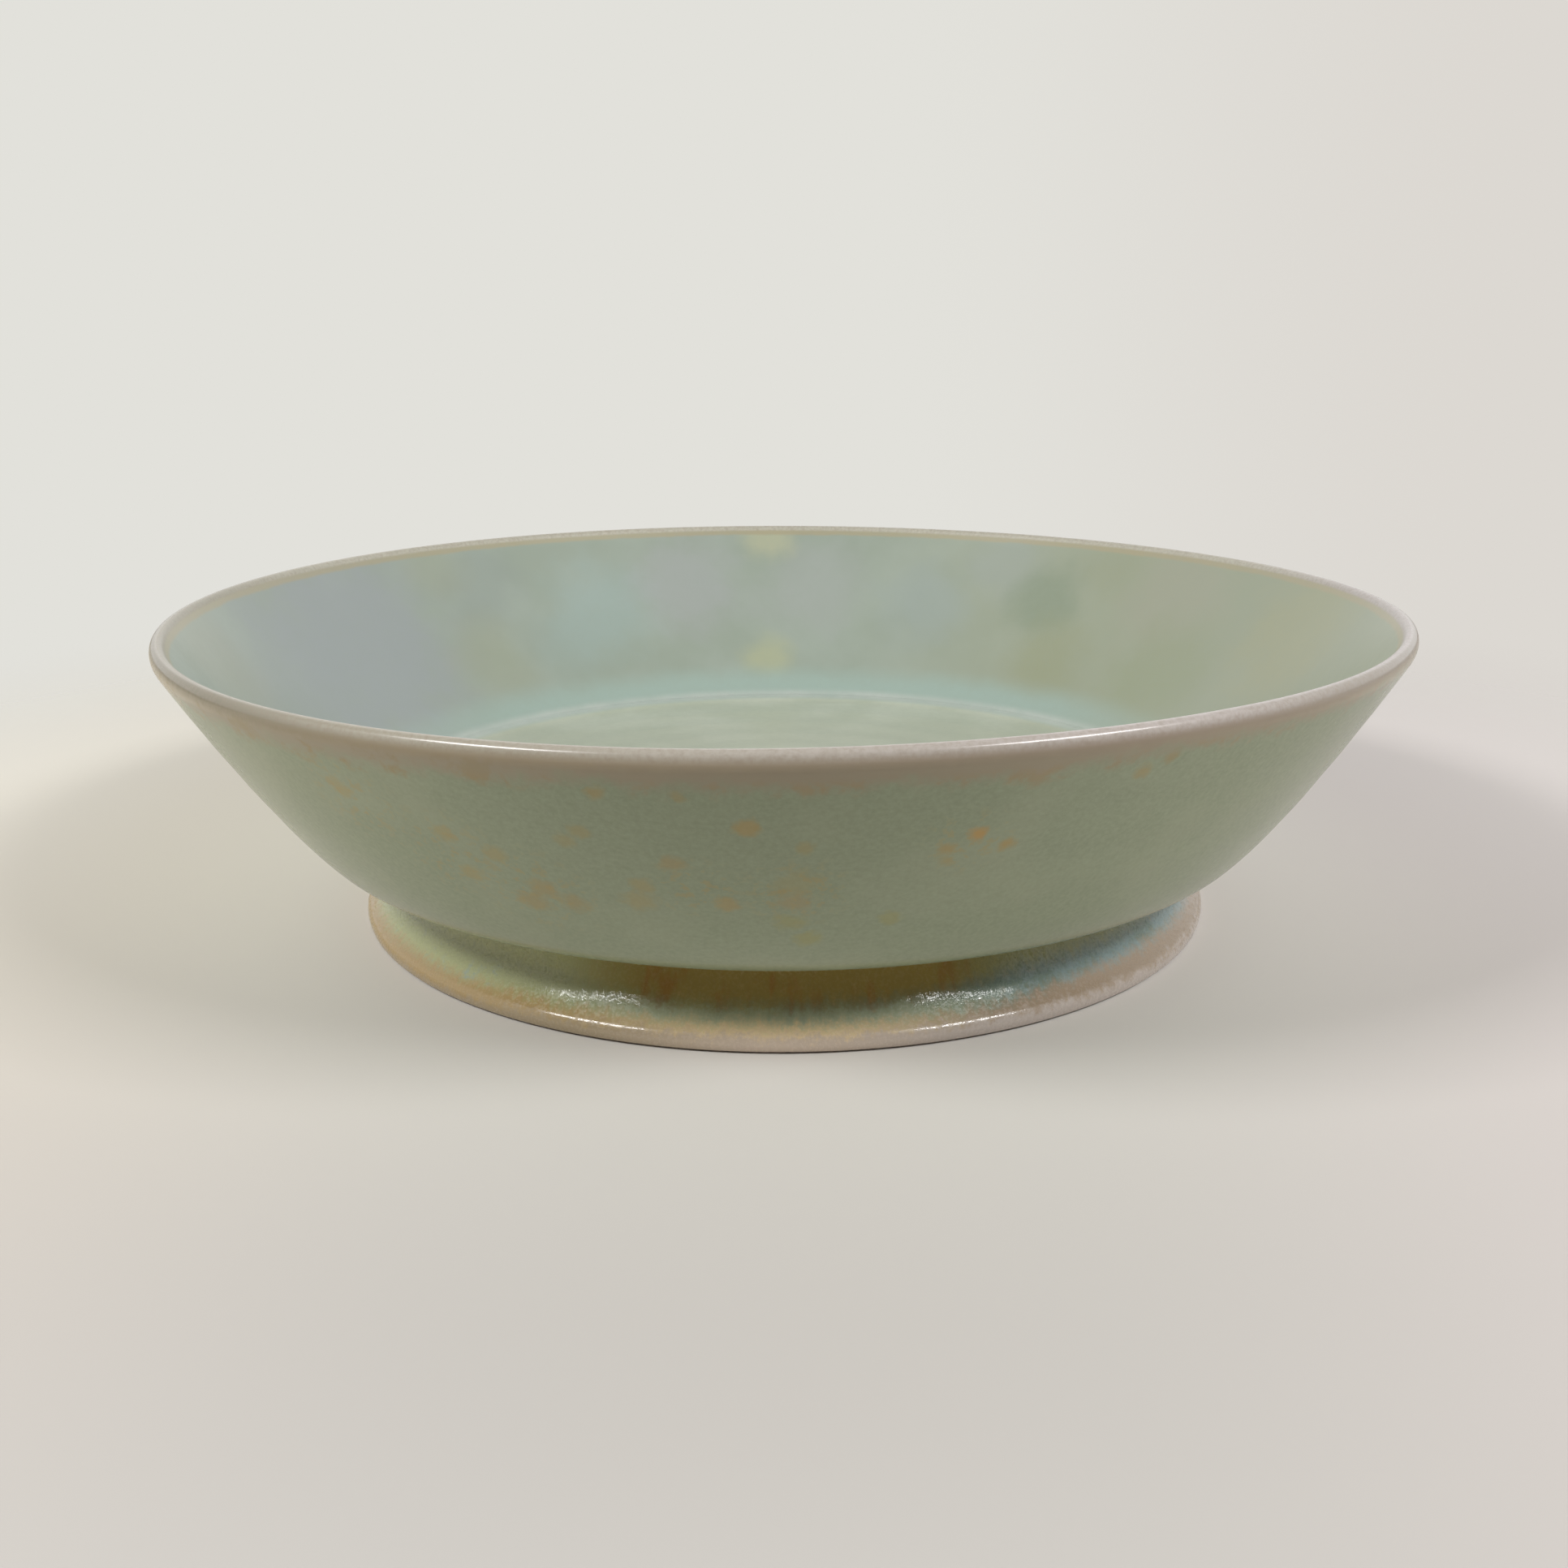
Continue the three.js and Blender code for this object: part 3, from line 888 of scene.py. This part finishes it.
finishes = {
    "exterior_glaze": (wallGlaze(), "wall_glaze"),
    "interior_glaze": (poolGlaze(), "pool_glaze"),
    "foot_glaze": (footGlaze(), "foot_glaze"),
    "base_glaze": (baseGlaze(), "foot_glaze"),
    "foot_ring": (bareClay("bare_clay", "clay"), "clay"),
    "luting_slip": (bareClay("fired_slip", "slip"), "slip"),
}
finishes["bowl_body"] = finishes["foot_ring"]
for name, piece in pieces.items():
    material, slot = finishes[name]
    piece.data.materials.append(material)
    piece.name = name + "_look"
    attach(piece, "root")
    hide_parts(name)
print("pieces glazed")


# Stage

stageLook = {
    # The table's colours are painted light and shade: darker near the front, paler far off, warmer
    # at the left and pinker at the right, standing in for how the light falls across it.
    "near": ("#cdc4bc", "#c4bfb9", "#d0c7c3"),  # table at the left, in the middle and at the right
    "far": ("#f3ecdd", "#f1eee8", "#e9e1dd"),
    "sideSpans": ((-100.0, -20.0), (20.0, 100.0)),  # in millimetres, as the next two
    "farFrom": (-150.0, 60.0),
    "tableEnd": (-160.0, -220.0),  # where the table stops casting light back
    "openRadius": 0.0553,  # metres; the table stops where the foot's edge meets it
    "reach": 3.0,
    "fadeFrom": (95.0, 250.0),  # millimetres from the dish's axis
    "roughness": 0.7,
    "horizon": "#e2e1db",
    "rightHorizon": "#dcd8d2",
    "horizonFrom": (0.05, 0.4),
    "sides": "#ffffff",
    "front": "#33322f",
    "frontFrom": (-0.3, -0.7),
    "ceiling": "#3f3e3b",
    "ceilingFrom": (0.5, 0.8),
}


# A flat ring on the table's level: its two radii times the cosine and sine of every angle. It is
# open inside the foot and unseen from below, so that the base can be looked at, and far off it
# fades into the room.
def layFloor():
    look = stageLook
    sides = 96
    angle = np.arange(sides) * 2 * np.pi / sides
    radii = np.array([look["openRadius"], look["reach"]])[:, None]
    flat = np.zeros((2, sides))
    points = np.stack([radii * np.cos(angle), radii * np.sin(angle), flat], axis=-1)
    side = np.arange(sides)
    beside = (side + 1) % sides
    faces = np.stack([side, side + sides, beside + sides, beside], axis=-1)
    mesh = bpy.data.meshes.new("table")
    mesh.from_pydata(points.reshape(-1, 3), [], faces.tolist())
    floor = bpy.data.objects.new("table", mesh)
    bpy.context.scene.collection.objects.link(floor)
    board = clayBoard("table_top")
    # Painted light and shade on the table, from front to back and from side to side
    near = board.across(look["near"], board.x, look["sideSpans"])
    far = board.across(look["far"], board.x, look["sideSpans"])
    table = board.veil(near, far, board.y, *look["farFrom"])
    sockets = {"Base Color": table, "Roughness": look["roughness"]}
    solid = board.node("ShaderNodeBsdfPrincipled", {}, sockets)
    clear = board.node("ShaderNodeBsdfTransparent", {}, {})
    seen = board.node("ShaderNodeLightPath", {}, {}, "Is Camera Ray")
    falls = board.node("ShaderNodeLightPath", {}, {}, "Is Diffuse Ray")
    back = board.node("ShaderNodeNewGeometry", {}, {}, "Backfacing")
    fade = board.ease(board.radius, *look["fadeFrom"])
    clearness = seen * board.most(back, fade) + falls * board.ease(board.y, *look["tableEnd"])
    board.surface(board.node("ShaderNodeMixShader", {}, {0: clearness, 1: solid, 2: clear}))
    mesh.materials.append(board.material)


# The eye sees a pale backdrop all round. What lights the dish and shows in its gloss is a room with
# bright walls at the sides and behind, a dim ceiling, and the dark place where the camera stands.
def lightRoom():
    look = stageLook
    world = bpy.data.worlds.new("room")
    bpy.context.scene.world = world
    world.use_nodes = True
    board = Board(world.node_tree)
    across, ahead, up = board.parts(board.node("ShaderNodeTexCoord", {}, {}, "Generated"))
    level = board.most((across * across + ahead * ahead) ** 0.5, 0.001)
    room = board.veil(look["sides"], look["front"], ahead / level, *look["frontFrom"])
    room = board.veil(room, look["ceiling"], up, *look["ceilingFrom"])
    horizon = board.veil(look["horizon"], look["rightHorizon"], across, *look["horizonFrom"])
    eyes = board.node("ShaderNodeLightPath", {}, {}, "Is Camera Ray")
    through = board.node("ShaderNodeLightPath", {}, {}, "Is Transmission Ray")
    colour = board.blend(board.most(eyes, through), room, horizon)
    light = board.node("ShaderNodeBackground", {}, {"Color": colour, "Strength": 1.0})
    board.surface(light, "ShaderNodeOutputWorld")


# Softboxes: the way to each from the dish, its width and height in metres, and its power in watts
lamps = {
    "leftSoftbox": {"way": (-0.62, -0.42, 0.67), "size": (0.22, 0.10), "power": 1.85},
    "rightSoftbox": {"way": (0.59, -0.46, 0.67), "size": (0.24, 0.10), "power": 1.85},
}
lampDistance = 0.6


def hangLamps():
    for name, lamp in lamps.items():
        light = bpy.data.lights.new(name, "AREA")
        light.shape = "RECTANGLE"
        light.size, light.size_y = lamp["size"]
        light.energy = lamp["power"]
        holder = bpy.data.objects.new(name, light)
        holder.visible_camera = False
        way = Vector(lamp["way"]).normalized()
        holder.location = way * lampDistance
        holder.rotation_euler = way.to_track_quat("Z", "Y").to_euler()
        bpy.context.scene.collection.objects.link(holder)


eye = {
    "place": (0.00018, -0.217735, 0.076367),  # metres
    "lens": 37.53,
    "down": 15.98,  # degrees below level
    "turn": 0.052,
    "lean": -0.238,
}


def setCamera():
    camera = bpy.data.objects.new("camera", bpy.data.cameras.new("camera"))
    camera.data.lens = eye["lens"]
    camera.data.clip_start = 0.01
    camera.location = eye["place"]
    tilt = Euler((np.radians(90 - eye["down"]), 0, np.radians(eye["turn"]))).to_matrix()
    camera.rotation_euler = (tilt @ Matrix.Rotation(np.radians(eye["lean"]), 3, "Z")).to_euler()
    bpy.context.scene.collection.objects.link(camera)
    bpy.context.scene.camera = camera


layFloor()
lightRoom()
hangLamps()
setCamera()
bpy.context.scene.view_settings.view_transform = "Standard"
print("stage set")
